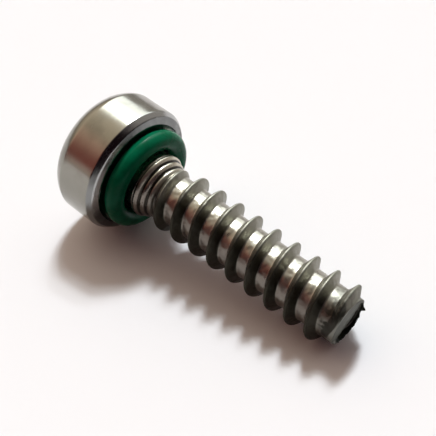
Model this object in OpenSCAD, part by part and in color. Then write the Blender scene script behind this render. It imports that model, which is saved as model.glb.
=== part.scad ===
// Self-tapping sealing screw with a tall round head, a rubber sealing ring seated under
// the head, a ridged neck and a coarse right-hand thread that runs out at a blunt, hollow end.
// The screw lies on the floor, on the rim of its head and on the last crest of its thread.
// Sizes are in millimetres. Along the screw, zero is the bearing face under the head.

/* [Head] */
// Outside diameter of the head
head_d = 9.4; // [9.2:0.1:10.4]
// Height of the head above its bearing face
head_h = 4.55; // [4.2:0.05:5]
// Height of the blunt edge at which the head's side meets its crown
side_h = 3.05; // [2.8:0.05:3.3]
// Radius of the crown's rounding
crown_r = 2.2; // [2:0.1:2.6]
// Length of the bevel along the screw, between the head's side and its bearing face
bevel_axial = 0.3; // [0.2:0.05:0.5]
// Width of the bevel across the screw
bevel_radial = 0.28; // [0.2:0.02:0.5]

/* [Drive recess] */
// Diameter across the tips of the six lobes
drive_d = 4.5; // [4:0.1:5]
// Diameter across the valleys between the lobes
drive_inner_d = 3.2; // [2.8:0.1:3.5]
// Radius of each valley
drive_valley_r = 0.9; // [0.7:0.05:1.1]
// Depth of the recess
drive_depth = 1.8; // [1.2:0.1:2.2]

/* [Sealing ring] */
// Inside diameter of the ring
ring_id = 4.75; // [4.6:0.05:4.9]
// Thickness of the ring's round cord
ring_cord = 1.4; // [1.2:0.05:1.5]
// Depth of the ring's shallow seat in the bearing face
seat_depth = 0.12; // [0.05:0.01:0.3]
// Gap between the ring and the edge of its seat
seat_gap = 0.12; // [0.05:0.01:0.2]
// Gap between the ring and the neck inside it
neck_gap = 0.1; // [0.05:0.01:0.2]

/* [Neck] */
// Diameter of the widest ridge, next to the ring
ridge_d = 4.72; // [4.4:0.02:5]
// Distance from the bearing face to the widest ridge
ridge_pos = 1.72; // [1.6:0.02:2]
// Distance from one ridge to the next
ridge_step = 0.45; // [0.4:0.01:0.55]
// Number of ridges on the neck
ridge_count = 3; // [2:1:4]
// Height of each ridge above the groove beside it
ridge_height = 0.12; // [0.06:0.01:0.16]
// Rounding of each ridge
ridge_round = 0.2; // [0.17:0.01:0.22]

/* [Thread] */
// Outside diameter of the thread
thread_d = 4.65; // [4.4:0.01:4.8]
// Diameter of the core between the threads
core_d = 3.35; // [3.1:0.05:3.6]
// Distance from one thread to the next
pitch = 1.6; // [1.4:0.05:1.8]
// Angle between the two flanks of a thread
flank_angle = 56; // [45:1:60]
// Width of the rounded crest
crest_w = 0.24; // [0.1:0.01:0.3]
// Drop of the crest's two edges below its middle
crest_drop = 0.06; // [0.02:0.01:0.1]
// Half the length over which a flank blends into the core
root_blend = 0.1; // [0.05:0.01:0.15]
// Distance from the bearing face to where the thread starts to rise
runin_start = 2; // [1.8:0.05:2.6]
// Length over which the thread rises to its full height
runin_length = 1.8; // [1.2:0.1:2.4]
// Distance from the blunt end to where the thread's crest has gone
runout_gap = 0.15; // [0.05:0.05:0.4]
// Length of the crest over which the thread falls away at the blunt end
runout_length = 0.3; // [0.2:0.05:0.6]

/* [Shank] */
// Length from the bearing face to the blunt end
shank_length = 17.95; // [12:0.05:24]
// Distance from the blunt end back to the crest that touches the floor
last_crest = 1.3; // [1:0.05:1.5]
// Depth of the slanting hollow in the blunt end, at its deep side
hollow_depth = 0.35; // [0.1:0.05:0.5]
// Width of the thin lip at the hollow's deep side
hollow_lip = 0.15; // [0.1:0.05:0.4]
// Distance from the screw's middle to where the hollow starts
hollow_start = 0.5; // [0.2:0.1:0.8]
// Angle round the screw from the floor to the hollow's deep side
hollow_side = 40; // [0:5:355]

/* [Hidden] */
$fa = 6;
$fs = 0.1;
LOBES = 6;
COLUMNS = 40;
TURN = 360;
head_r = head_d / 2;
core_r = core_d / 2;
thread_r = thread_d / 2;
ring_r = (ring_id + ring_cord) / 2;
seat_r = ring_id / 2 + ring_cord + seat_gap;
neck_r = ring_id / 2 - neck_gap;
ridge_r = ridge_d / 2;
// Middle and reach of the crown's arc, which runs level into the flat top
crown_drop = head_h - side_h;
crown_reach = sqrt(crown_drop * (2 * crown_r - crown_drop));
crown_c = head_r - crown_reach;
// Reach of the hollow and the slope of its floor
hollow_r = core_r - hollow_lip;
hollow_slope = atan(hollow_depth / (hollow_r + hollow_start));
neck_end = ridge_pos + ridge_step * (ridge_count - 0.5);
// Depth to which joined shapes run into one another
overlap = 0.6;
// Room by which a cutting shape passes the surface it cuts
cut_room = 1;

// Half sections of the thread, across its crest and its root
thread_h = thread_r - core_r;
half_crest = crest_w / 2;
crest_share = 1 - crest_drop / thread_h;
half_root = half_crest + (thread_h - crest_drop) * tan(flank_angle / 2);
blend_share = crest_share * root_blend / (half_root - half_crest);
section = [
    [-half_root - root_blend, 0],
    [-half_root + root_blend, blend_share],
    [-half_crest, crest_share],
    [0, 1],
    [half_crest, crest_share],
    [half_root - root_blend, blend_share],
    [half_root + root_blend, 0]
];
POINTS = len(section);

// The helix, counted from the crest that lies on the floor
floor_crest = shank_length - last_crest;
helix_low = neck_end - pitch - overlap;
helix_start = floor_crest - pitch * floor((floor_crest - helix_low) / pitch);
helix_turns = ceil((shank_length + cut_room - helix_start) / pitch) + 1;
helix_steps = helix_turns * COLUMNS;

// The lying pose: the rim of the head and one crest touch the floor
lie_tilt = atan((head_r - thread_r) / (floor_crest + bevel_axial));
lie_z = head_r * cos(lie_tilt) - bevel_axial * sin(lie_tilt);
head_reach = crown_c * sin(lie_tilt) + (head_h - crown_r) * cos(lie_tilt) + crown_r;
tip_reach = shank_length * cos(lie_tilt) + core_r * sin(lie_tilt);
lie_x = (head_reach - tip_reach) / 2;

function eased(share) = share <= 0 ? 0 : share >= 1 ? 1 : share * share * (3 - 2 * share);
function rise(along) = thread_h * eased((along - runin_start) / runin_length);
function fall(along) = eased((shank_length - runout_gap - along) / runout_length);
function crest_along(step) = helix_start + pitch * step / COLUMNS;
function ridge_at(count) = core_r + (ridge_r - core_r) * (1 - count / ridge_count);

// One point of the thread's surface, by its step round the helix and its place in the section
function thread_point(step, place) =
    let (turn = TURN * step / COLUMNS)
    let (along = crest_along(step) + section[place][0])
    let (height = rise(along) * fall(crest_along(step)))
    let (reach = core_r + height * section[place][1])
    [reach * cos(turn), reach * sin(turn), along];
function point_index(step, place) = step * POINTS + place;

module lie_down() {
    translate([lie_x, 0, lie_z])
        rotate([0, 90 + lie_tilt, 0])
            children();
}

// Half outline of the head, with its rounded crown and its bevelled lower edge
module head_outline() {
    translate([0, -head_h])
        square([crown_c, head_h - bevel_axial]);
    translate([crown_c, crown_r - head_h])
        intersection() {
            circle(r = crown_r);
            translate([0, -crown_r])
                square([crown_r, crown_drop]);
        }
    translate([0, -side_h])
        square([head_r, side_h - bevel_axial]);
    polygon([
        [0, -bevel_axial],
        [head_r, -bevel_axial],
        [head_r - bevel_radial, 0],
        [0, 0]
    ]);
}

// Half outline of the neck: a plain stretch inside the ring, then ridges that step down
module neck_outline() {
    translate([0, -seat_depth - overlap])
        square([neck_r, ridge_pos - ridge_step / 2 + seat_depth + overlap]);
    for (count = [0 : ridge_count - 1]) {
        translate([0, ridge_pos + ridge_step * (count - 0.5)])
            square([ridge_at(count) - ridge_height, ridge_step]);
        translate([ridge_at(count) - ridge_round, ridge_pos + ridge_step * count])
            circle(r = ridge_round);
    }
}

module turned_body() {
    rotate_extrude()
        union() {
            difference() {
                head_outline();
                translate([0, -seat_depth])
                    square([seat_r, seat_depth + cut_room]);
            }
            neck_outline();
        }
}

// Core and thread in one closed skin, capped at both ends towards the screw's axis
module threaded_core() {
    low_cap = (helix_steps + 1) * POINTS;
    high_cap = low_cap + 1;
    last = POINTS - 1;
    skin = [
        for (step = [0 : helix_steps])
            for (place = [0 : last])
                thread_point(step, place)
    ];
    caps = [
        [0, 0, helix_start + section[0][0] + pitch / 2],
        [0, 0, crest_along(helix_steps) + section[last][0] - pitch / 2]
    ];
    flanks = [
        for (step = [0 : helix_steps - 1])
            for (place = [0 : last - 1])
                for (half = [0, 1])
                    half == 0
                        ? [point_index(step, place), point_index(step, place + 1),
                           point_index(step + 1, place + 1)]
                        : [point_index(step, place), point_index(step + 1, place + 1),
                           point_index(step + 1, place)]
    ];
    roots = [
        for (step = [0 : helix_steps - COLUMNS - 1])
            for (half = [0, 1])
                half == 0
                    ? [point_index(step, last), point_index(step + COLUMNS, 0),
                       point_index(step + COLUMNS + 1, 0)]
                    : [point_index(step, last), point_index(step + COLUMNS + 1, 0),
                       point_index(step + 1, last)]
    ];
    low_rim = concat(
        [for (step = [0 : COLUMNS]) point_index(step, 0)],
        [for (place = [last : -1 : 0]) point_index(0, place)]
    );
    high_rim = concat(
        [for (step = [helix_steps - COLUMNS : helix_steps]) point_index(step, last)],
        [for (place = [last - 1 : -1 : 0]) point_index(helix_steps, place)],
        [point_index(helix_steps - COLUMNS, last)]
    );
    low_fan = [
        for (edge = [0 : len(low_rim) - 2])
            [low_cap, low_rim[edge], low_rim[edge + 1]]
    ];
    high_fan = [
        for (edge = [0 : len(high_rim) - 2])
            [high_cap, high_rim[edge + 1], high_rim[edge]]
    ];
    polyhedron(points = concat(skin, caps), faces = concat(flanks, roots, low_fan, high_fan));
}

// Six-lobed outline of the drive recess
module drive_outline() {
    difference() {
        circle(d = drive_d);
        for (lobe = [0 : LOBES - 1])
            rotate(lobe * TURN / LOBES)
                translate([drive_inner_d / 2 + drive_valley_r, 0])
                    circle(r = drive_valley_r);
    }
}

// Hollow that shearing left in the blunt end, deepest at one side
module end_hollow() {
    rotate(hollow_side)
        intersection() {
            translate([0, 0, shank_length - hollow_depth - cut_room])
                cylinder(r = hollow_r, h = hollow_depth + 2 * cut_room);
            translate([-hollow_start, 0, shank_length])
                rotate([0, hollow_slope, 0])
                    translate([-head_r, -head_r, 0])
                        cube([2 * head_d, head_d, 2 * cut_room]);
        }
}

module screw_upright() {
    difference() {
        union() {
            turned_body();
            threaded_core();
        }
        translate([0, 0, -head_h - cut_room])
            linear_extrude(height = drive_depth + cut_room)
                drive_outline();
        translate([0, 0, shank_length])
            cylinder(r = head_r, h = 2 * pitch + 2 * cut_room);
        end_hollow();
    }
}

module screw() {
    color([0.66, 0.65, 0.62])
        lie_down()
            screw_upright();
}

module sealing_ring() {
    color([0.05, 0.38, 0.22])
        lie_down()
            translate([0, 0, ring_cord / 2 - seat_depth])
                rotate_extrude()
                    translate([ring_r, 0])
                        circle(d = ring_cord);
}

screw();
sealing_ring();
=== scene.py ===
import math
from functools import partial
from types import SimpleNamespace

import bmesh
import bpy
import numpy as np
from mathutils import Euler, Matrix, Vector


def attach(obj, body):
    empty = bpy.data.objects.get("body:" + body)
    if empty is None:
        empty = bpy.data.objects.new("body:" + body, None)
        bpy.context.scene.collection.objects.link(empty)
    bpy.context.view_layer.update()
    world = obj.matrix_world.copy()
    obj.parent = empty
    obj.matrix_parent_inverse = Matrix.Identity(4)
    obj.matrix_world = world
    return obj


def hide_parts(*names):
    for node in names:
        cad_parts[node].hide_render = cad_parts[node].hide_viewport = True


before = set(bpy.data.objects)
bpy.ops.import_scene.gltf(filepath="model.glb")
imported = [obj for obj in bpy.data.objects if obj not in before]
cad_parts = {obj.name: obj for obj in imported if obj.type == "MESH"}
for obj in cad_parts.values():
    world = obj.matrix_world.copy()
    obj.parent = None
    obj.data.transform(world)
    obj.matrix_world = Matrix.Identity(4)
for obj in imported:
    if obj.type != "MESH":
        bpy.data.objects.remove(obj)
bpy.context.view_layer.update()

MM = 0.001
TAU = 2 * math.pi

# Sizes of the screw in millimetres, as in the part's source
HEAD_R = 4.7
HEAD_H = 4.55
WALL_H = 3.05
CROWN_R = 2.2
BEVEL_AXIAL = 0.3
BEVEL_RADIAL = 0.28
DRIVE_R = 2.25
DRIVE_INNER_R = 1.6
DRIVE_VALLEY_R = 0.9
DRIVE_DEPTH = 1.8
RING_ID = 4.75
RING_CORD = 1.4
SEAT_DEPTH = 0.12
SEAT_GAP = 0.12
NECK_GAP = 0.1
RIDGE_R = 2.36
RIDGE_POS = 1.72
RIDGE_STEP = 0.45
RIDGE_COUNT = 3
RIDGE_HEIGHT = 0.12
RIDGE_ROUND = 0.2
THREAD_R = 2.325
CORE_R = 1.675
PITCH = 1.6
FLANK_ANGLE = 56
RUNIN_START = 2.0
RUNIN_LENGTH = 1.8
SHANK_LENGTH = 17.95
LAST_CREST = 1.3
RUNOUT_GAP = 0.15
RUNOUT_LENGTH = 0.3
HOLLOW_DEPTH = 0.35
HOLLOW_LIP = 0.15
HOLLOW_START = 0.5
HOLLOW_SIDE = math.radians(40)

# Roundings that the rolled and headed surface has
CREST_ROUND = 0.12
ROOT_ROUND = 0.16
TIP_ROUND = 0.07
EDGE_ROUND = 0.07
MOUTH_ROUND = 0.1
NECK_FILLET = 0.1

# The rim under the head: the softness of its corners, and the slant and dish of its face
RIM_SOFT = 0.12
RIM_SLANT = 0.08
RIM_DISH = 0.15

# The ring's seat: how far its corners are eased, and points of its mouth as steps from its wall
SEAT_EASE = 0.03
SEAT_MOUTH = ((0.01, -0.01), (0.0, -0.035))

# The neck rises into its first ridge, and falls from its last one to just below the core
NECK_RISE, NECK_RISE_LEAD = 0.35, 0.25
NECK_FALL, NECK_FALL_LEAD = 0.2, 0.1
NECK_SINK = 0.02
GROOVE_SHARP = 50.0

# The drive recess: eased lobes, a floor that dips to its middle, a wall with a little draft
LOBE_SHARP = 14.0
LOBE_EASE = 0.02
NO_VALLEY = 9.0
DRIVE_DIP = 0.16
DRIVE_DRAFT = 0.012
DRIVE_FLOOR_SHARES = (0.15, 0.35, 0.55, 0.75, 0.9)
DRIVE_CORNER_SHARE, DRIVE_CORNER_RISE = 0.97, 0.02
DRIVE_WALL_RISE = 0.06

# The sheared end is hollow towards one side, where its edge is ragged
HOLLOW_R = CORE_R - HOLLOW_LIP
HOLLOW_EASE = 0.12
END_SHARES = (0.985, 0.97, 0.95, 0.93, 0.91, 0.89, 0.86, 0.82, 0.75, 0.65, 0.5, 0.35, 0.2, 0.1)
LIP_INNER = 0.8
LIP_START, LIP_BLEND = 0.05, 0.5
# Ripples of the lip, as rise, count and shift
LIP_RIPPLES = ((0.014, 17, 1), (0.01, 31, 2), (0.008, 53, 0))
# The lip's spike, the notches on both sides of it and a low swell, as turn, width and rise
LIP_BUMPS = ((0.85, 0.09, 0.19), (0.6, 0.12, -0.07), (1.2, 0.22, -0.08), (0.0, 0.4, 0.03))

# The head's crown meets its side at a blunt edge and runs level into the flat top
CROWN_DROP = HEAD_H - WALL_H
CROWN_REACH = math.sqrt(CROWN_DROP * (2 * CROWN_R - CROWN_DROP))
CROWN_C = HEAD_R - CROWN_REACH
CROWN_TURN = math.asin(CROWN_REACH / CROWN_R)
SEAT_R = RING_ID / 2 + RING_CORD + SEAT_GAP
NECK_R = RING_ID / 2 - NECK_GAP

# The lying pose
FLOOR_CREST = SHANK_LENGTH - LAST_CREST
TILT = math.atan((HEAD_R - THREAD_R) / (FLOOR_CREST + BEVEL_AXIAL))
SIN_T, COS_T = math.sin(TILT), math.cos(TILT)
LIE_Z = HEAD_R * COS_T - BEVEL_AXIAL * SIN_T
HEAD_REACH = CROWN_C * SIN_T + (HEAD_H - CROWN_R) * COS_T + CROWN_R
TIP_REACH = SHANK_LENGTH * COS_T + CORE_R * SIN_T
LIE_X = (HEAD_REACH - TIP_REACH) / 2

# How finely the meshes are cut
COLUMNS = 168
ANGLES = np.arange(COLUMNS) * TAU / COLUMNS
ONES = np.ones(COLUMNS)
NECK_END = 2.95
NECK_ROWS = 110
RING_AROUND, RING_ACROSS = 192, 72
WELD = 2e-8

# Moulding line of the ring
LINE_RISE = 0.012
LINE_WIDTH = 0.05


def place(radius, angle, along):
    """Points of the lying screw, in metres, from polar ones in millimetres."""
    down, side = radius * np.cos(angle), radius * np.sin(angle)
    lying = [LIE_X - down * SIN_T + along * COS_T, side, LIE_Z - down * COS_T - along * SIN_T]
    return np.stack(lying, -1) * MM


def eased(share):
    """A smooth step from 0 to 1."""
    share = np.clip(share, 0, 1)
    return share * share * (3 - 2 * share)


def soft_least(first, second, sharp):
    """The lesser of two values, with a rounded corner where they meet."""
    return -np.log(np.exp(-sharp * first) + np.exp(-sharp * second)) / sharp


# Section of one thread: a round crest, straight flanks and round roots
SIN_F = math.sin(math.radians(FLANK_ANGLE / 2))
COS_F = math.cos(math.radians(FLANK_ANGLE / 2))
TAN_F = SIN_F / COS_F
THREAD_H = THREAD_R - CORE_R
ROUNDS = CREST_ROUND + ROOT_ROUND
CREST_END = CREST_ROUND * COS_F
ROOT_END = ROUNDS * COS_F + TAN_F * (THREAD_H - ROUNDS * (1 - SIN_F))
FLANK_END = ROOT_END - ROOT_ROUND * COS_F


def thread_section(off):
    """Height of the thread above the core at a distance from its crest."""
    crest = THREAD_H - CREST_ROUND + np.sqrt(np.maximum(CREST_ROUND**2 - off**2, 0))
    flank = ROOT_ROUND * (1 - SIN_F) + (FLANK_END - off) / TAN_F
    root = ROOT_ROUND - np.sqrt(np.maximum(ROOT_ROUND**2 - (ROOT_END - off) ** 2, 0))
    return np.select([off <= CREST_END, off <= FLANK_END, off <= ROOT_END], [crest, flank, root], 0)


def thread_offsets():
    """Distances from a crest at which the thread has a row, close together on its curves."""
    curve_turn = math.pi / 2 - math.radians(FLANK_ANGLE / 2)
    flat = np.linspace(ROOT_END, PITCH / 2, 6)
    root = ROOT_END - ROOT_ROUND * np.sin(np.linspace(0, curve_turn, 6))
    flank = np.linspace(CREST_END, FLANK_END, 5)
    crest = CREST_ROUND * np.sin(np.linspace(0, curve_turn, 5))
    half = np.unique(np.round(np.concatenate([flat, root, flank, crest]), 6))
    return np.unique(np.round(np.concatenate([-half[1:-1], half]), 6))


def ridge_radius(count):
    """The cone on which the crests of the neck's ridges lie."""
    return CORE_R + (RIDGE_R - CORE_R) * (1 - count / RIDGE_COUNT)


def groove_depth(along):
    """Depth below the neck's ridges: round ridges with a narrow groove between them."""
    off = (along - RIDGE_POS + RIDGE_STEP / 2) % RIDGE_STEP - RIDGE_STEP / 2
    side = RIDGE_ROUND - np.sqrt(np.maximum(RIDGE_ROUND**2 - off**2, 0))
    return soft_least(side, RIDGE_HEIGHT, GROOVE_SHARP)


def neck_radius(along):
    """Outline of the neck: plain inside the ring, then round ridges that fall to the core."""
    rise_start = RIDGE_POS - RIDGE_STEP / 2 - NECK_RISE_LEAD
    fall_start = RIDGE_POS + RIDGE_STEP * (RIDGE_COUNT - 0.5) - NECK_FALL_LEAD
    ridges = ridge_radius((along - RIDGE_POS) / RIDGE_STEP) - groove_depth(along)
    before = NECK_R + (ridges - NECK_R) * eased((along - rise_start) / NECK_RISE)
    after = ridges + (CORE_R - NECK_SINK - ridges) * eased((along - fall_start) / NECK_FALL)
    return np.where(along < rise_start + NECK_RISE, before, after)


def shank_radius(angle, along):
    """Outside of the neck, core and thread at an angle and a distance along the screw."""
    off = (along - FLOOR_CREST - PITCH * angle / TAU + PITCH / 2) % PITCH - PITCH / 2
    height = eased((along - RUNIN_START) / RUNIN_LENGTH)
    height = height * eased((SHANK_LENGTH - RUNOUT_GAP - along + off) / RUNOUT_LENGTH)
    return np.maximum(CORE_R + height * thread_section(np.abs(off)), neck_radius(along))


def drive_radius(angle):
    """Outline of the six-lobe recess, with its lobes' corners eased."""
    off = (angle + TAU / 12) % (TAU / 6) - TAU / 12
    centre = DRIVE_INNER_R + DRIVE_VALLEY_R
    room = DRIVE_VALLEY_R**2 - (centre * np.sin(off)) ** 2
    near_side = centre * np.cos(off) - np.sqrt(np.maximum(room, 0))
    valley = np.where(room > 0, near_side, NO_VALLEY)
    return soft_least(DRIVE_R, valley, LOBE_SHARP) + LOBE_EASE


def drive_floor(radius):
    """The recess's floor, which dips a little towards its middle as its punch does."""
    return DRIVE_DEPTH - HEAD_H + DRIVE_DIP * (1 - radius / DRIVE_R)


def arc(count, start=0.0, end=math.pi / 2):
    """Turns of the points on an arc."""
    return np.linspace(start, end, count)


def bent(start, corner, end, count=6):
    """Points of a short curve that rounds a corner of an outline."""
    for far in np.linspace(0, 1, count):
        near = 1 - far
        weights = (near * near, 2 * near * far, far * far)
        yield tuple(sum(w * p for w, p in zip(weights, at)) for at in zip(start, corner, end))


def towards(start, end, distance):
    """The point at a distance from one point of an outline on the way to another."""
    share = distance / math.dist(start, end)
    return tuple(a + (b - a) * share for a, b in zip(start, end))


def drive_rows():
    """Rings of the drive recess, from the middle of its floor to the edge of its mouth."""
    lobes = drive_radius(ANGLES)
    for share in DRIVE_FLOOR_SHARES:
        yield lobes * share, drive_floor(lobes * share)
    yield lobes * DRIVE_CORNER_SHARE, drive_floor(lobes) - DRIVE_CORNER_RISE
    low = drive_floor(lobes) - DRIVE_WALL_RISE
    high = MOUTH_ROUND - HEAD_H
    for share in np.linspace(0, 1, 9):
        yield lobes * (1 + DRIVE_DRAFT * share), low + (high - low) * share
    wall = lobes * (1 + DRIVE_DRAFT)
    for turn in arc(6)[1:]:
        outward, below = MOUTH_ROUND * (1 - math.cos(turn)), MOUTH_ROUND * (1 - math.sin(turn))
        yield wall + outward, below - HEAD_H
    mouth = wall + MOUTH_ROUND
    for share in (0.25, 0.5, 0.75, 1):
        yield mouth + (CROWN_C - mouth) * share, -HEAD_H


def head_rows():
    """Rings of the head, from the start of its crown to the inner edge of its bearing face."""
    for turn in arc(18, 0, CROWN_TURN)[1:-1]:
        yield CROWN_C + CROWN_R * math.sin(turn), -HEAD_H + CROWN_R * (1 - math.cos(turn))
    crown_in = EDGE_ROUND * math.cos(CROWN_TURN)
    crown_up = EDGE_ROUND * math.sin(CROWN_TURN)
    side_start = EDGE_ROUND - WALL_H
    shoulder = (HEAD_R, -WALL_H)
    yield from bent((HEAD_R - crown_in, -WALL_H - crown_up), shoulder, (HEAD_R, side_start))
    rim = (HEAD_R, -BEVEL_AXIAL - RIM_DISH - RIM_SLANT)
    face = (HEAD_R - BEVEL_RADIAL, -RIM_DISH)
    inner = (SEAT_R + SEAT_EASE, 0)
    side_end = rim[1] - RIM_SOFT
    for share in np.linspace(0, 1, 15)[1:-1]:
        yield HEAD_R, side_start + (side_end - side_start) * share
    yield from bent((HEAD_R, side_end), rim, towards(rim, face, RIM_SOFT / 2), 8)
    yield from bent(towards(face, rim, RIM_SOFT / 2), face, towards(face, inner, RIM_SOFT), 8)
    for share in (0.5, 0.75, 1):
        yield towards(face, inner, RIM_SOFT + share * (math.dist(face, inner) - RIM_SOFT))


def seat_rows():
    """Rings of the ring's seat, from its mouth to the fillet at the foot of the neck."""
    for outward, along in SEAT_MOUTH:
        yield SEAT_R + outward, along
    yield SEAT_R, SEAT_EASE - SEAT_DEPTH
    corner, fillet = SEAT_R - SEAT_EASE, NECK_R + NECK_FILLET
    for share in np.linspace(0, 1, 8):
        yield corner + (fillet - corner) * share, -SEAT_DEPTH
    for turn in arc(5)[1:]:
        outward, below = NECK_FILLET * (1 - math.sin(turn)), NECK_FILLET * (1 - math.cos(turn))
        yield NECK_R + outward, below - SEAT_DEPTH


def end_lip(angle):
    """Height of the ragged edge over the flat end."""
    turn = (angle - HOLLOW_SIDE + math.pi) % TAU - math.pi
    ragged = sum(rise * np.sin(count * turn + shift) for rise, count, shift in LIP_RIPPLES)
    for middle, width, rise in LIP_BUMPS:
        ragged = ragged + rise * np.exp(-(((turn - middle) / width) ** 2))
    return eased((np.cos(turn) - LIP_START) / LIP_BLEND) * ragged


def end_dip(radius, angle):
    """Depth of the hollow below the flat end, from nothing to its deep side."""
    across = radius * np.cos(angle - HOLLOW_SIDE)
    slant = np.clip((across + HOLLOW_START) / (HOLLOW_R + HOLLOW_START), 0, 1)
    return HOLLOW_DEPTH * slant * eased((HOLLOW_R + HOLLOW_EASE / 2 - radius) / HOLLOW_EASE)


class Skin:
    """Points and faces of the screw, which grow row by row."""

    def __init__(self):
        self.points, self.faces, self.size = [], [], 0

    def add(self, array):
        """Add points and give the number of the first."""
        start = self.size
        self.points.append(array)
        self.size += len(array)
        return start

    def row(self, radius, along):
        """Add a row of points round the screw."""
        return self.add(place(radius * ONES, ANGLES, along * ONES))

    def pole(self, along):
        """Add a point on the axis."""
        return self.add(place(np.zeros(1), np.zeros(1), np.array([along])))

    def bridge(self, rows):
        """Add the faces between rows that follow each other."""
        for low, high in zip(rows, rows[1:]):
            for j in range(COLUMNS):
                k = (j + 1) % COLUMNS
                self.faces.append((low + j, low + k, high + k, high + j))


def screw_mesh():
    """The whole screw as one closed skin: recess, head and neck, then thread, then blunt end."""
    skin = Skin()
    turned_rows = [*drive_rows(), *head_rows(), *seat_rows()]
    rows = [skin.row(radius, along) for radius, along in turned_rows]
    for along in np.linspace(0.0, NECK_END, NECK_ROWS):
        rows.append(skin.row(shank_radius(ANGLES, along * ONES), along))
    skin.bridge(rows)
    pole = skin.pole(drive_floor(0))
    for j in range(COLUMNS):
        skin.faces.append((pole, rows[0] + (j + 1) % COLUMNS, rows[0] + j))

    # The thread's rows follow its helix and are cut square at both ends
    offsets = thread_offsets()
    per_turn = len(offsets)
    tip_start = SHANK_LENGTH - TIP_ROUND
    first = math.floor((NECK_END - FLOOR_CREST) / PITCH) - 2
    last = math.ceil((tip_start - FLOOR_CREST) / PITCH) + 1
    marks = np.concatenate([FLOOR_CREST + m * PITCH + offsets for m in range(first, last + 1)])
    helix = []
    for mark in marks:
        along = np.clip(mark + PITCH * ANGLES / TAU, NECK_END, tip_start)
        helix.append(skin.row(shank_radius(ANGLES, along), along))
    seam = COLUMNS - 1
    for k, (low, high) in enumerate(zip(helix, helix[1:])):
        for j in range(seam):
            skin.faces.append((low + j, low + j + 1, high + j + 1, high + j))
        if k + per_turn + 1 < len(marks):
            next_low, next_high = helix[k + per_turn], helix[k + per_turn + 1]
            skin.faces.append((low + seam, next_low, next_high, high + seam))

    # The blunt end, with a small rounded edge, a hollow and the ragged lip that shearing left
    edge = shank_radius(ANGLES, tip_start * ONES)
    lip = end_lip(ANGLES)
    ends = []
    for turn in arc(5):
        inward = TIP_ROUND * (1 - math.cos(turn))
        ends.append(skin.row(edge - inward, tip_start + (TIP_ROUND + lip) * math.sin(turn)))
    for share in END_SHARES:
        radius = (edge - TIP_ROUND) * share
        rise = lip * eased((share - LIP_INNER) / (1 - LIP_INNER))
        ends.append(skin.row(radius, SHANK_LENGTH + rise - end_dip(radius, ANGLES)))
    skin.bridge(ends)
    pole = skin.pole(SHANK_LENGTH - end_dip(0.0, 0.0))
    for j in range(COLUMNS):
        skin.faces.append((ends[-1] + j, ends[-1] + (j + 1) % COLUMNS, pole))
    return build_mesh("screw_body", np.concatenate(skin.points), skin.faces)


def ring_mesh():
    """The sealing ring: round cord with a faint moulding line inside and outside."""
    bend = np.arange(RING_ACROSS) * TAU / RING_ACROSS
    line = np.exp(-((np.sin(bend) / LINE_WIDTH) ** 2))
    cord = RING_CORD / 2 - LINE_RISE * (1 - line)
    reach = (RING_ID + RING_CORD) / 2 + cord * np.cos(bend)
    along = RING_CORD / 2 - SEAT_DEPTH + cord * np.sin(bend)
    points, faces = [], []
    for i in range(RING_AROUND):
        points.append(place(reach, i * TAU / RING_AROUND, along))
        near, far = i * RING_ACROSS, (i + 1) % RING_AROUND * RING_ACROSS
        for j in range(RING_ACROSS):
            k = (j + 1) % RING_ACROSS
            faces.append((near + j, far + j, far + k, near + k))
    return build_mesh("sealing_ring_body", np.concatenate(points), faces)


def build_mesh(name, points, faces):
    """A smooth mesh, with points that lie together joined."""
    mesh = bpy.data.meshes.new(name)
    mesh.from_pydata([tuple(p) for p in points], [], faces)
    work = bmesh.new()
    work.from_mesh(mesh)
    bmesh.ops.remove_doubles(work, verts=work.verts, dist=WELD)
    bmesh.ops.dissolve_degenerate(work, dist=WELD, edges=work.edges)
    for face in work.faces:
        face.smooth = True
    work.to_mesh(mesh)
    work.free()
    mesh.validate()
    return mesh


def link(name, data):
    """An object of the scene that shows some data."""
    piece = bpy.data.objects.new(name, data)
    bpy.context.scene.collection.objects.link(piece)
    return piece


def material(name):
    """A new material with its node tree and its shader."""
    made = bpy.data.materials.new(name)
    made.use_nodes = True
    tree = made.node_tree
    return made, tree, tree.nodes["Principled BSDF"]


def fill(tree, socket, value):
    """Link a socket to another one, or give it a value."""
    if isinstance(value, bpy.types.NodeSocket):
        tree.links.new(value, socket)
    else:
        socket.default_value = value


def add_node(tree, kind, inputs, **settings):
    """A node with its settings and its inputs."""
    made = tree.nodes.new(kind)
    for name, value in settings.items():
        setattr(made, name, value)
    for name, value in inputs.items():
        fill(tree, made.inputs[name], value)
    return made


def calc(tree, operation, *values):
    """The result of a sum with numbers."""
    inputs = dict(enumerate(values))
    return add_node(tree, "ShaderNodeMath", inputs, operation=operation).outputs[0]


def times(tree, first, *others):
    """The product of several masks."""
    for other in others:
        first = calc(tree, "MULTIPLY", first, other)
    return first


def vector(tree, operation, *values):
    """The result of a sum with vectors."""
    inputs = dict(enumerate(values))
    made = add_node(tree, "ShaderNodeVectorMath", inputs, operation=operation)
    return made.outputs["Vector"]


def dot(tree, first, second):
    """How far one vector goes along another."""
    inputs = {0: first, 1: second}
    made = add_node(tree, "ShaderNodeVectorMath", inputs, operation="DOT_PRODUCT")
    return made.outputs["Value"]


def ramp(tree, value, low, high, low_out=0.0, high_out=1.0):
    """A smooth step from one value to another."""
    inputs = {"Value": value, "From Min": low, "From Max": high, "To Min": low_out, "To Max": high_out}
    made = add_node(tree, "ShaderNodeMapRange", inputs, interpolation_type="SMOOTHSTEP")
    return made.outputs["Result"]


def noise(tree, coords, scale, detail=2.0, rough=0.5):
    """Soft noise from 0 to 1."""
    inputs = {"Vector": coords, "Scale": scale, "Detail": detail, "Roughness": rough}
    return add_node(tree, "ShaderNodeTexNoise", inputs).outputs["Fac"]


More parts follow.
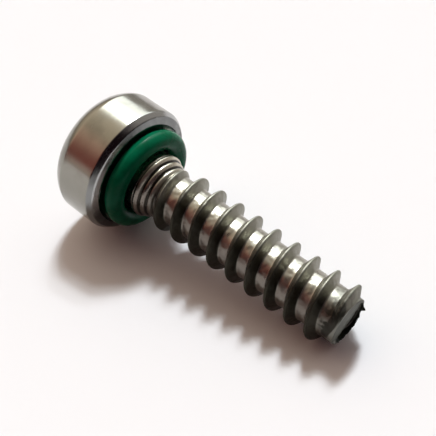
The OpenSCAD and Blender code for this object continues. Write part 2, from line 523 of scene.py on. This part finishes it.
def blend(tree, share, first, second):
    """A colour between two others."""
    made = add_node(tree, "ShaderNodeMix", {"Factor": share}, data_type="RGBA")
    sockets = {socket.identifier: socket for socket in made.inputs}
    fill(tree, sockets["A_Color"], first)
    fill(tree, sockets["B_Color"], second)
    return next(one for one in made.outputs if one.identifier == "Result_Color")


def bump(tree, height, distance, strength, normal=None):
    """A normal with small relief, over another one if there is one."""
    inputs = {"Height": height, "Distance": distance, "Strength": strength}
    if normal is not None:
        inputs["Normal"] = normal
    return add_node(tree, "ShaderNodeBump", inputs).outputs["Normal"]


# Tones of the steel, painted shade and painted light among them: head, bearing face and bevel, neck,
# core and flanks, then the end
HEAD_STEEL = (0.295, 0.287, 0.254, 1)
WORN_STEEL = (0.272, 0.262, 0.23, 1)
# Darker head steel, for random smudges and for painted shade on the head's low side
SMUDGED_AND_SHADED_STEEL = (0.2, 0.194, 0.168, 1)
FACE_STEEL = (0.16, 0.165, 0.165, 1)
# Bearing face: worn in random spots, with a darker and a lighter tone as painted shade and painted
# light by side
FACE_WORN_AND_PAINTED_LIGHT = (0.225, 0.23, 0.228, 1)
FACE_PAINTED_SHADE = (0.085, 0.088, 0.088, 1)
FACE_PAINTED_LIGHT = (0.4, 0.405, 0.4, 1)
BEVEL_STEEL = (0.11, 0.11, 0.108, 1)
NECK_STEEL = (0.56, 0.525, 0.432, 1)
# Painted shade for the narrow grooves between the neck's ridges
GROOVE_SHADE = (0.03, 0.027, 0.022, 1)
CORE_STEEL = (0.342, 0.322, 0.275, 1)
# Painted shade: the shaded core and flank tones go on the side turned away from the light
SHADED_CORE = (0.18, 0.159, 0.138, 1)
FLANK_STEEL = (0.265, 0.256, 0.214, 1)
SHADED_FLANK = (0.042, 0.039, 0.03, 1)
DULL_STEEL = (0.2, 0.193, 0.165, 1)
# Near the tip: grime in spots, with painted shade on the side turned from the light and in a patch
TIP_GRIME_AND_SHADE = (0.022, 0.021, 0.017, 1)
END_RIM_STEEL = (0.195, 0.195, 0.172, 1)
SHEARED_STEEL = (0.132, 0.133, 0.117, 1)
END_WALL_BLACK = (0.008, 0.009, 0.006, 1)

# The painted shade leaves a strip unshaded that is turned this far from the top to the back, towards
# the light
LIT_SIDE_TURN = math.radians(30)
# How far the mottle moves the edges of the painted shade
SHADE_MOTTLE = 0.3


def from_end(*distances):
    """Places along the screw at some distances from its end."""
    return tuple(SHANK_LENGTH - distance for distance in distances)


# Ramps are written as where they give 0 and where 1, or two other results that follow

# Surfaces, in millimetres along the screw
FACE_BACK = (-0.6, -0.5)
HEAD_TO = (0.5, -0.5)
NECK_FROM, NECK_TO = (0.2, 0.6), (3.4, 2.4)
GROOVES_FROM = (RIDGE_POS - RIDGE_STEP, RIDGE_POS)
SHANK_FROM, SHANK_TO = (2.2, 3.4), from_end(-0.02, 0.05)
SHEARED_FROM = from_end(0.45, 0.4)

# Surfaces, in millimetres from the axis
FACE_INNER = (SEAT_R - 0.195, SEAT_R - 0.095)
FACE_OUTER = (HEAD_R + 0.02, HEAD_R - 0.04)
BEVEL_INNER = (HEAD_R - BEVEL_RADIAL, HEAD_R - BEVEL_RADIAL + 0.08)
CORE_TO = (THREAD_R - 0.025, THREAD_R - 0.225)
FLANK_FROM = (CORE_R + 0.125, CORE_R + 0.325)
CREST_FROM = (THREAD_R - 0.185, THREAD_R - 0.055)
SHEARED_TO = (CORE_R + 0.075, CORE_R + 0.005)
BLACK_WALL_TO = (CORE_R - 0.005, CORE_R - 0.055)

# Surfaces, by the cosine of the way they face, and grooves, by a wave that is 1 on the ridges
FLANK_FACING = (0.35, 0.8)
SHEARED_FACING = (0.88, 0.95)
BLACK_WALL_FACING = (-0.1, -0.3)
GROOVE_WAVE = (0.15, -0.7)

# Painted shade and light, dirt and wear, by their lean: 1 on the side towards the light and -1 on the
# other
SHADE_SIDE, FLANK_SHADE_SIDE = (0.4, 0.03), (0.84, 0.3)
HEAD_SHADE_SIDE = (-0.15, -0.6, 0.0, 0.4)
FACE_SHADE_SIDE, FACE_LIGHT_SIDE, FACE_DARK_SIDE = (0.88, 0.72), (0.56, 0.4), (-0.4, -0.8)
BEVEL_LOW_LIGHT_SIDE, BEVEL_TOP_LIGHT_SIDE = (0.0, -0.35), (0.6, 0.85)
TIP_SHADE_SIDE = (1.3, 0.35)
SHADE_PATCH_TOP, SHADE_PATCH_BOTTOM = (0.45, 0.2), (-0.6, -0.3)
END_RIM_SIDE = (0.35, 0.05)

# Dirt, wear and painted shade along the screw: how strong they are, or where they start
FIRST_TURN = (5.0, 3.6, 0.0, 0.4)
DULL_FROM = (*from_end(2.15, 0.95), 0.0, 0.7)
GRIME_FROM = (*from_end(1.75, 0.85), 0.0, 0.92)
SHADE_PATCH_FROM = (*from_end(0.85, 0.65), 0.0, 0.9)
ROUGH_FROM = (*from_end(1.75, 0.55), 0.0, 0.16)
END_RIM_START = (0.1, -0.8, *from_end(0.15, 0.45))
BLACK_WALL_START = (-0.2, 1.1, *from_end(0.55, 0.23))
START_BLUR = (0.0, 0.1)

# Marks, as the scale, detail and roughness of a noise, and how much of it shows
MOTTLE, HEAD_WEAR, FACE_WEAR = (900, 4, 0.6), (0.3, 0.7), (0.35, 0.65)
SMUDGES, SMUDGE_SHARE, SMUDGE_TONE = (420, 3, 0.55), (0.5, 0.72), 0.6
SPOTS, SPOT_SHARE = (1500, 2), (0.44, 0.56, 0.3, 1.0)
LINES, LINE_STRETCH = (1.0, 3, 0.6), (26000, 900, 900)
DENT_SCALE, DENT_SHARE = 800.0, (0.1, 0.03)
SWELL = (1600, 1)
GRAIN = (16000, 2)

# Depth of the marks in metres, and their strength
SWELL_BUMP = (1.2e-4, 0.7)
DENT_BUMP = (1.2e-5, 0.5)
LINE_BUMP = (4e-6, 0.2)
GRAIN_BUMP = (4e-6, 0.25)

# Roughness by the mottle, and what surfaces and lines add to it
STEEL_ROUGH = (0.3, 0.7, 0.13, 0.2)
LINE_ROUGH = (0.35, 0.7, 0.0, 0.05)
ROUGHER = {
    "flank": 0.26,
    "core": 0.13,
    "crest": 0.08,
    "sheared": 0.25,
    "neck": 0.09,
    "face": 0.04,
    "smudge": 0.05,
}


def steel_place(tree):
    """Where a point lies on the screw, how its surface faces, and how far it leans towards the lit
    side.
    """

    def upright(coords):
        turn = {"Vector": coords, "Rotation": (0, -TILT, 0)}
        return add_node(tree, "ShaderNodeMapping", turn).outputs["Vector"]

    def in_mm(value):
        return calc(tree, "MULTIPLY", value, 1 / MM)

    spot = add_node(tree, "ShaderNodeTexCoord", {}).outputs["Object"]
    offset = vector(tree, "SUBTRACT", spot, Vector((LIE_X, 0, LIE_Z)) * MM)
    turned = upright(offset)
    facing = upright(add_node(tree, "ShaderNodeNewGeometry", {}).outputs["Normal"])
    across = vector(tree, "MULTIPLY", turned, (0, 1, 1))
    length = add_node(tree, "ShaderNodeVectorMath", {0: across}, operation="LENGTH")
    radius = in_mm(length.outputs["Value"])
    mottle = noise(tree, offset, *MOTTLE)
    # The lean is 1 on the side towards the light; painted shade goes on the other side
    lit_side = (0, math.sin(LIT_SIDE_TURN), math.cos(LIT_SIDE_TURN))
    lean = calc(tree, "DIVIDE", in_mm(dot(tree, turned, lit_side)), radius)
    shift = calc(tree, "SUBTRACT", mottle, 0.5)
    deep_side = (0, math.sin(HOLLOW_SIDE), -math.cos(HOLLOW_SIDE))
    return SimpleNamespace(
        offset=offset,
        turned=turned,
        along=in_mm(dot(tree, turned, (1, 0, 0))),
        back=in_mm(dot(tree, turned, (0, 1, 0))),
        radius=radius,
        slope=dot(tree, facing, (1, 0, 0)),
        deep=dot(tree, facing, deep_side),
        mottle=mottle,
        lean=calc(tree, "MULTIPLY_ADD", shift, SHADE_MOTTLE, lean),
    )


def steel_masks(tree, at):
    """The screw's surfaces, the dirt and wear on them, and the painted shade and light, as masks from
    0 to 1.
    """
    along, radius = partial(ramp, tree, at.along), partial(ramp, tree, at.radius)
    slope, lean = partial(ramp, tree, at.slope), partial(ramp, tree, at.lean)

    face = times(tree, radius(*FACE_INNER), radius(*FACE_OUTER), along(*FACE_BACK))
    neck = times(tree, along(*NECK_FROM), along(*NECK_TO))
    wave_rate = TAU / RIDGE_STEP
    wave = calc(tree, "MULTIPLY_ADD", at.along, wave_rate, -wave_rate * RIDGE_POS)
    between = ramp(tree, calc(tree, "COSINE", wave), *GROOVE_WAVE)
    shank = times(tree, along(*SHANK_FROM), along(*SHANK_TO))
    flank = calc(tree, "MAXIMUM", slope(*FLANK_FACING), radius(*FLANK_FROM))
    flank = times(tree, flank, shank)
    core = times(tree, shank, radius(*CORE_TO), calc(tree, "SUBTRACT", 1.0, flank))
    # The painted shade on the flanks starts lower on the first turn
    flank_lean = calc(tree, "ADD", at.lean, along(*FIRST_TURN))

    # The tip has grime in spots with painted shade by side, a patch of painted shade, a bare rim, and
    # black on the hollow's wall
    spots = ramp(tree, noise(tree, at.offset, *SPOTS), *SPOT_SHARE)
    grime_and_shade = times(tree, spots, lean(*TIP_SHADE_SIDE), along(*GRIME_FROM))
    patch = times(tree, lean(*SHADE_PATCH_TOP), lean(*SHADE_PATCH_BOTTOM), along(*SHADE_PATCH_FROM))
    past_rim = calc(tree, "SUBTRACT", at.along, lean(*END_RIM_START))
    past_black_wall_start = calc(tree, "SUBTRACT", at.along, ramp(tree, at.back, *BLACK_WALL_START))
    scale = times(tree, ramp(tree, past_black_wall_start, *START_BLUR), ramp(tree, at.deep, *BLACK_WALL_FACING))
    return SimpleNamespace(
        face=face,
        neck=neck,
        groove=times(tree, neck, between, along(*GROOVES_FROM)),
        shank=shank,
        flank=flank,
        core=core,
        crest=times(tree, shank, radius(*CREST_FROM)),
        # Painted shade on the side turned from the light, for core and neck, and for flanks
        shade=lean(*SHADE_SIDE),
        flank_shade=ramp(tree, flank_lean, *FLANK_SHADE_SIDE),
        smudge=ramp(tree, noise(tree, at.offset, *SMUDGES), *SMUDGE_SHARE),
        dull=along(*DULL_FROM),
        grime_and_shade=calc(tree, "MAXIMUM", grime_and_shade, patch),
        end_rim=times(tree, ramp(tree, past_rim, *START_BLUR), lean(*END_RIM_SIDE)),
        sheared=times(tree, along(*SHEARED_FROM), slope(*SHEARED_FACING), radius(*SHEARED_TO)),
        scale=times(tree, scale, radius(*BLACK_WALL_TO)),
    )


def steel_tone(tree, at, mask):
    """Colour of the steel: worn and smudged head, face and dark bevel with painted shade and light,
    painted shade on the shank, grime, black in the hollow.
    """
    lean, mottle = partial(ramp, tree, at.lean), partial(ramp, tree, at.mottle)

    head = blend(tree, mottle(*HEAD_WEAR), HEAD_STEEL, WORN_STEEL)
    smudge = calc(tree, "MULTIPLY", mask.smudge, SMUDGE_TONE)
    # Random smudges, and painted shade on the head's side turned from the light
    smudge_and_shade = calc(tree, "MAXIMUM", smudge, lean(*HEAD_SHADE_SIDE))
    head = blend(tree, smudge_and_shade, head, SMUDGED_AND_SHADED_STEEL)

    face = blend(tree, mottle(*FACE_WEAR), FACE_STEEL, FACE_WORN_AND_PAINTED_LIGHT)
    # Painted shade and painted light on the bearing face, by its lean towards the light
    face = blend(tree, lean(*FACE_SHADE_SIDE), face, FACE_PAINTED_SHADE)
    face = blend(tree, lean(*FACE_LIGHT_SIDE), face, FACE_PAINTED_LIGHT)
    face = blend(tree, lean(*FACE_DARK_SIDE), face, FACE_PAINTED_SHADE)
    # Painted light on the bevel's low side and on its top
    bevel = blend(tree, lean(*BEVEL_LOW_LIGHT_SIDE), BEVEL_STEEL, FACE_WORN_AND_PAINTED_LIGHT)
    bevel = blend(tree, lean(*BEVEL_TOP_LIGHT_SIDE), bevel, FACE_PAINTED_LIGHT)
    face = blend(tree, ramp(tree, at.radius, *BEVEL_INNER), face, bevel)

    tone = blend(tree, mask.face, head, face)
    # Core, neck and flanks get painted shade on the side turned from the light
    tone = blend(tree, mask.core, tone, blend(tree, mask.shade, CORE_STEEL, SHADED_CORE))
    tone = blend(tree, mask.dull, tone, DULL_STEEL)
    tone = blend(tree, mask.neck, tone, blend(tree, mask.shade, NECK_STEEL, SHADED_CORE))
    # Painted shade in the neck's grooves
    tone = blend(tree, mask.groove, tone, GROOVE_SHADE)
    tone = blend(tree, mask.flank, tone, blend(tree, mask.flank_shade, FLANK_STEEL, SHADED_FLANK))
    # Grime in spots near the tip, and painted shade by side and in a patch in front
    tone = blend(tree, mask.grime_and_shade, tone, TIP_GRIME_AND_SHADE)
    tone = blend(tree, mask.end_rim, tone, END_RIM_STEEL)
    tone = blend(tree, mask.sheared, tone, SHEARED_STEEL)
    # Black on the wall of the hollow at its deep side, where the wall faces front and up
    return blend(tree, mask.scale, tone, END_WALL_BLACK)


def steel_material():
    """Plated steel: its tones with painted shade and light, rougher where it was rolled or sheared,
    with fine marks and dents.
    """
    made, tree, shader = material("plated_steel")
    at = steel_place(tree)
    mask = steel_masks(tree, at)
    tree.links.new(steel_tone(tree, at, mask), shader.inputs["Base Color"])
    shader.inputs["Metallic"].default_value = 1.0

    # Fine lines run round the screw
    stretched = vector(tree, "MULTIPLY", at.turned, LINE_STRETCH)
    lines = noise(tree, stretched, *LINES)
    rough = ramp(tree, at.mottle, *STEEL_ROUGH)
    for surface, extra in ROUGHER.items():
        rough = calc(tree, "MULTIPLY_ADD", getattr(mask, surface), extra, rough)
    rough = calc(tree, "ADD", rough, ramp(tree, lines, *LINE_ROUGH))
    rough = calc(tree, "ADD", rough, ramp(tree, at.along, *ROUGH_FROM))
    tree.links.new(rough, shader.inputs["Roughness"])

    # The shank is uneven, and the head has dents and lines
    head = ramp(tree, at.along, *HEAD_TO)
    swell = noise(tree, at.offset, *SWELL)
    cells = add_node(tree, "ShaderNodeTexVoronoi", {"Vector": at.offset, "Scale": DENT_SCALE})
    dents = times(tree, ramp(tree, cells.outputs["Distance"], *DENT_SHARE), head)
    grain = noise(tree, at.offset, *GRAIN)
    normal = bump(tree, times(tree, swell, mask.shank), *SWELL_BUMP)
    normal = bump(tree, calc(tree, "SUBTRACT", 1.0, dents), *DENT_BUMP, normal)
    normal = bump(tree, times(tree, lines, head), *LINE_BUMP, normal)
    normal = bump(tree, grain, *GRAIN_BUMP, normal)
    tree.links.new(normal, shader.inputs["Normal"])
    return made


# Tones of the rubber, and its clouds and grain as noises
RUBBER_GREEN = (0.002, 0.162, 0.074, 1)
RUBBER_DARK = (0.001, 0.116, 0.05, 1)
RUBBER_CLOUDS, CLOUD_SHARE = (1100, 3), (0.3, 0.7)
RUBBER_ROUGH = (*CLOUD_SHARE, 0.21, 0.28)
RUBBER_GRAIN, RUBBER_BUMP = (22000, 2), (5e-6, 0.35)
RUBBER_SPECULAR = 0.07


def rubber_material():
    """Moulded green rubber with a soft shine and darker clouds."""
    made, tree, shader = material("green_rubber")
    spot = add_node(tree, "ShaderNodeTexCoord", {}).outputs["Object"]
    cloud = noise(tree, spot, *RUBBER_CLOUDS)
    grain = noise(tree, spot, *RUBBER_GRAIN)
    tone = blend(tree, ramp(tree, cloud, *CLOUD_SHARE), RUBBER_GREEN, RUBBER_DARK)
    tree.links.new(tone, shader.inputs["Base Color"])
    tree.links.new(ramp(tree, cloud, *RUBBER_ROUGH), shader.inputs["Roughness"])
    shader.inputs["Specular IOR Level"].default_value = RUBBER_SPECULAR
    tree.links.new(bump(tree, grain, *RUBBER_BUMP), shader.inputs["Normal"])
    return made


screw = link("screw_body", screw_mesh())
screw.data.materials.append(steel_material())
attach(screw, "root")
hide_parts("screw")

ring = link("sealing_ring_body", ring_mesh())
ring.data.materials.append(rubber_material())
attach(ring, "root")
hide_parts("sealing_ring")


# The sheet looks white, and throws less light up at the screw than it would by its look
FLOOR_WHITE = (0.88, 0.858, 0.885, 1)
FLOOR_BOUNCE = (0.2, 0.2, 0.2, 1)
FLOOR_HALF = 1.2


def floor_piece():
    """The white sheet that the screw lies on."""
    corners = [(x * FLOOR_HALF, y * FLOOR_HALF, 0) for x, y in ((-1, -1), (1, -1), (1, 1), (-1, 1))]
    mesh = bpy.data.meshes.new("floor")
    mesh.from_pydata(corners, [], [(0, 1, 2, 3)])
    floor = link("floor", mesh)
    made, tree, shader = material("white_floor")
    path = add_node(tree, "ShaderNodeLightPath", {}).outputs
    seen = calc(tree, "MAXIMUM", path["Is Camera Ray"], path["Is Glossy Ray"])
    seen = calc(tree, "MAXIMUM", seen, path["Is Transmission Ray"])
    tree.links.new(blend(tree, seen, FLOOR_BOUNCE, FLOOR_WHITE), shader.inputs["Base Color"])
    shader.inputs["Roughness"].default_value = 0.8
    shader.inputs["Specular IOR Level"].default_value = 0.0
    mesh.materials.append(made)


floor_piece()

# Camera at the photograph's viewing angle: its place, its turn from +Y and its dip, in degrees
CAMERA_AT = Vector((LIE_X + 35.59, -32.807, 41.973)) * MM
CAMERA_TURN = 40.92137
CAMERA_DIP = 40.7128
camera_data = bpy.data.cameras.new("camera")
camera_data.lens = 72.027
camera_data.sensor_width = 36
camera_data.clip_start = 0.001
camera_data.clip_end = 10
camera = link("camera", camera_data)
camera_aim = Euler((math.radians(90 - CAMERA_DIP), 0, math.radians(CAMERA_TURN)))
camera.matrix_world = Matrix.LocRotScale(CAMERA_AT, camera_aim, None)
bpy.context.scene.camera = camera

DAYLIGHT = (0.935, 1.025, 1.055)


def direction(azimuth, elevation):
    """The way towards a point of the sky."""
    a, e = math.radians(azimuth), math.radians(elevation)
    return Vector((math.cos(e) * math.cos(a), math.cos(e) * math.sin(a), math.sin(e)))


def daylight_lamp(name, kind, power, sky):
    """A lamp with the colour of daylight, whose back is turned to a point of the sky."""
    data = bpy.data.lights.new(name, kind)
    data.energy = power
    data.color = DAYLIGHT
    lamp = link(name, data)
    lamp.rotation_mode = "QUATERNION"
    lamp.rotation_quaternion = sky.to_track_quat("Z", "Y")
    return lamp


# Key light: a slanting strip of sky behind the screw, in parts, which makes the shadow's soft edge
KEY_PARTS = [
    # azimuth, elevation, strength, angle
    (112, 53, 0.24, 4.5),
    (120, 53, 0.4, 4.0),
    (120, 58, 0.61, 4.0),
    (120, 63, 0.21, 4.5),
    (127, 58, 0.75, 4.0),
    (127, 63, 0.27, 4.5),
    (134, 63, 0.23, 4.5),
]
for azimuth, elevation, strength, spread in KEY_PARTS:
    key = daylight_lamp("key", "SUN", strength, direction(azimuth, elevation))
    key.data.angle = math.radians(spread)

# The room: pale light behind and beside the screw, a warm and a pale patch in front, the rest dim
ROOM_BASE = (0.036, 0.016, 0.022)
ROOM_LOBES = [
    # azimuth, elevation, full within, gone beyond, colour
    (95, 30, 10, 80, (0.45, 0.43, 0.385)),
    (178, 45, 5, 55, (0.89, 0.765, 0.57)),
    (-131, 24, 8, 38, (0.36, 0.116, 0.084)),
    (-122, -2, 7, 17, (0.36, 0.42, 0.38)),
]


def room_world():
    """The room as soft patches of light."""
    world = bpy.data.worlds.new("studio")
    world.use_nodes = True
    tree = world.node_tree
    tree.nodes.clear()
    around = add_node(tree, "ShaderNodeTexCoord", {}).outputs["Generated"]
    total = ROOM_BASE
    for azimuth, elevation, inner, outer, colour in ROOM_LOBES:
        near = dot(tree, around, direction(azimuth, elevation))
        full, gone = math.cos(math.radians(inner)), math.cos(math.radians(outer))
        inputs = {0: colour, "Scale": ramp(tree, near, gone, full)}
        patch = add_node(tree, "ShaderNodeVectorMath", inputs, operation="SCALE")
        total = vector(tree, "ADD", patch.outputs["Vector"], total)
    room = add_node(tree, "ShaderNodeBackground", {"Color": total})
    add_node(tree, "ShaderNodeOutputWorld", {"Surface": room.outputs["Background"]})
    return world


bpy.context.scene.world = room_world()

# A window behind the screw: it gives highlights alone, and the key light stands for the rest of it
WINDOW_AT = direction(120, 44) * 0.6
WINDOW_AIM = Vector((0, 0, 0.004))
WINDOW_WIDE, WINDOW_HIGH = 0.46, 0.44
WINDOW_LIGHT = 2.7
window_power = WINDOW_LIGHT * math.pi * WINDOW_WIDE * WINDOW_HIGH
window = daylight_lamp("window", "AREA", window_power, WINDOW_AT - WINDOW_AIM)
window.location = WINDOW_AT
window.data.shape = "RECTANGLE"
window.data.size, window.data.size_y = WINDOW_WIDE, WINDOW_HIGH
window.visible_diffuse = False

bpy.context.scene.view_settings.view_transform = "Standard"
